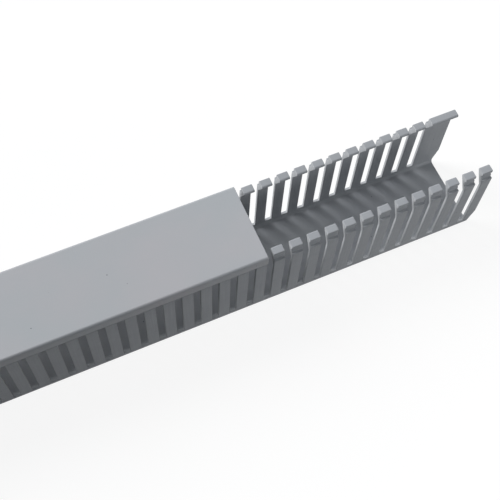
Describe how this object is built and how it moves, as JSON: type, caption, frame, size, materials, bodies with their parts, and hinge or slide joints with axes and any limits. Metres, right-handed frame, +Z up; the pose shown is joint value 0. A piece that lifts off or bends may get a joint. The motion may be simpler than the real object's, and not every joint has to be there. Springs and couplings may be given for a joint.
{
  "type": "slotted wire duct",
  "caption": "Slotted wiring duct: a long PVC trough with comb-like finger walls and a clip-on cover that slides back to open it for laying and routing wires.",
  "frame": {"origin": "middle of the trough's bottom face, which is the face that is fixed to a panel", "axes": "+X along the duct towards the open end, +Y across it towards the wall with the blank last place, +Z up out of the mounting face"},
  "size_m": [1.1295, 0.0446, 0.055],
  "materials": {
    "trough_pvc": "extruded rigid PVC, satin grey with fine die lines",
    "cover_pvc": "extruded rigid PVC, satin light grey"
  },
  "bodies": {
    "trough": {"trough": "trough_pvc"},
    "cover": {"cover": "cover_pvc"}
  },
  "joints": [
    {"name": "cover_slide", "type": "slide", "parent": "trough", "child": "cover", "axis": [1, 0, 0], "range_m": [-0.77, 0.1295]}
  ]
}
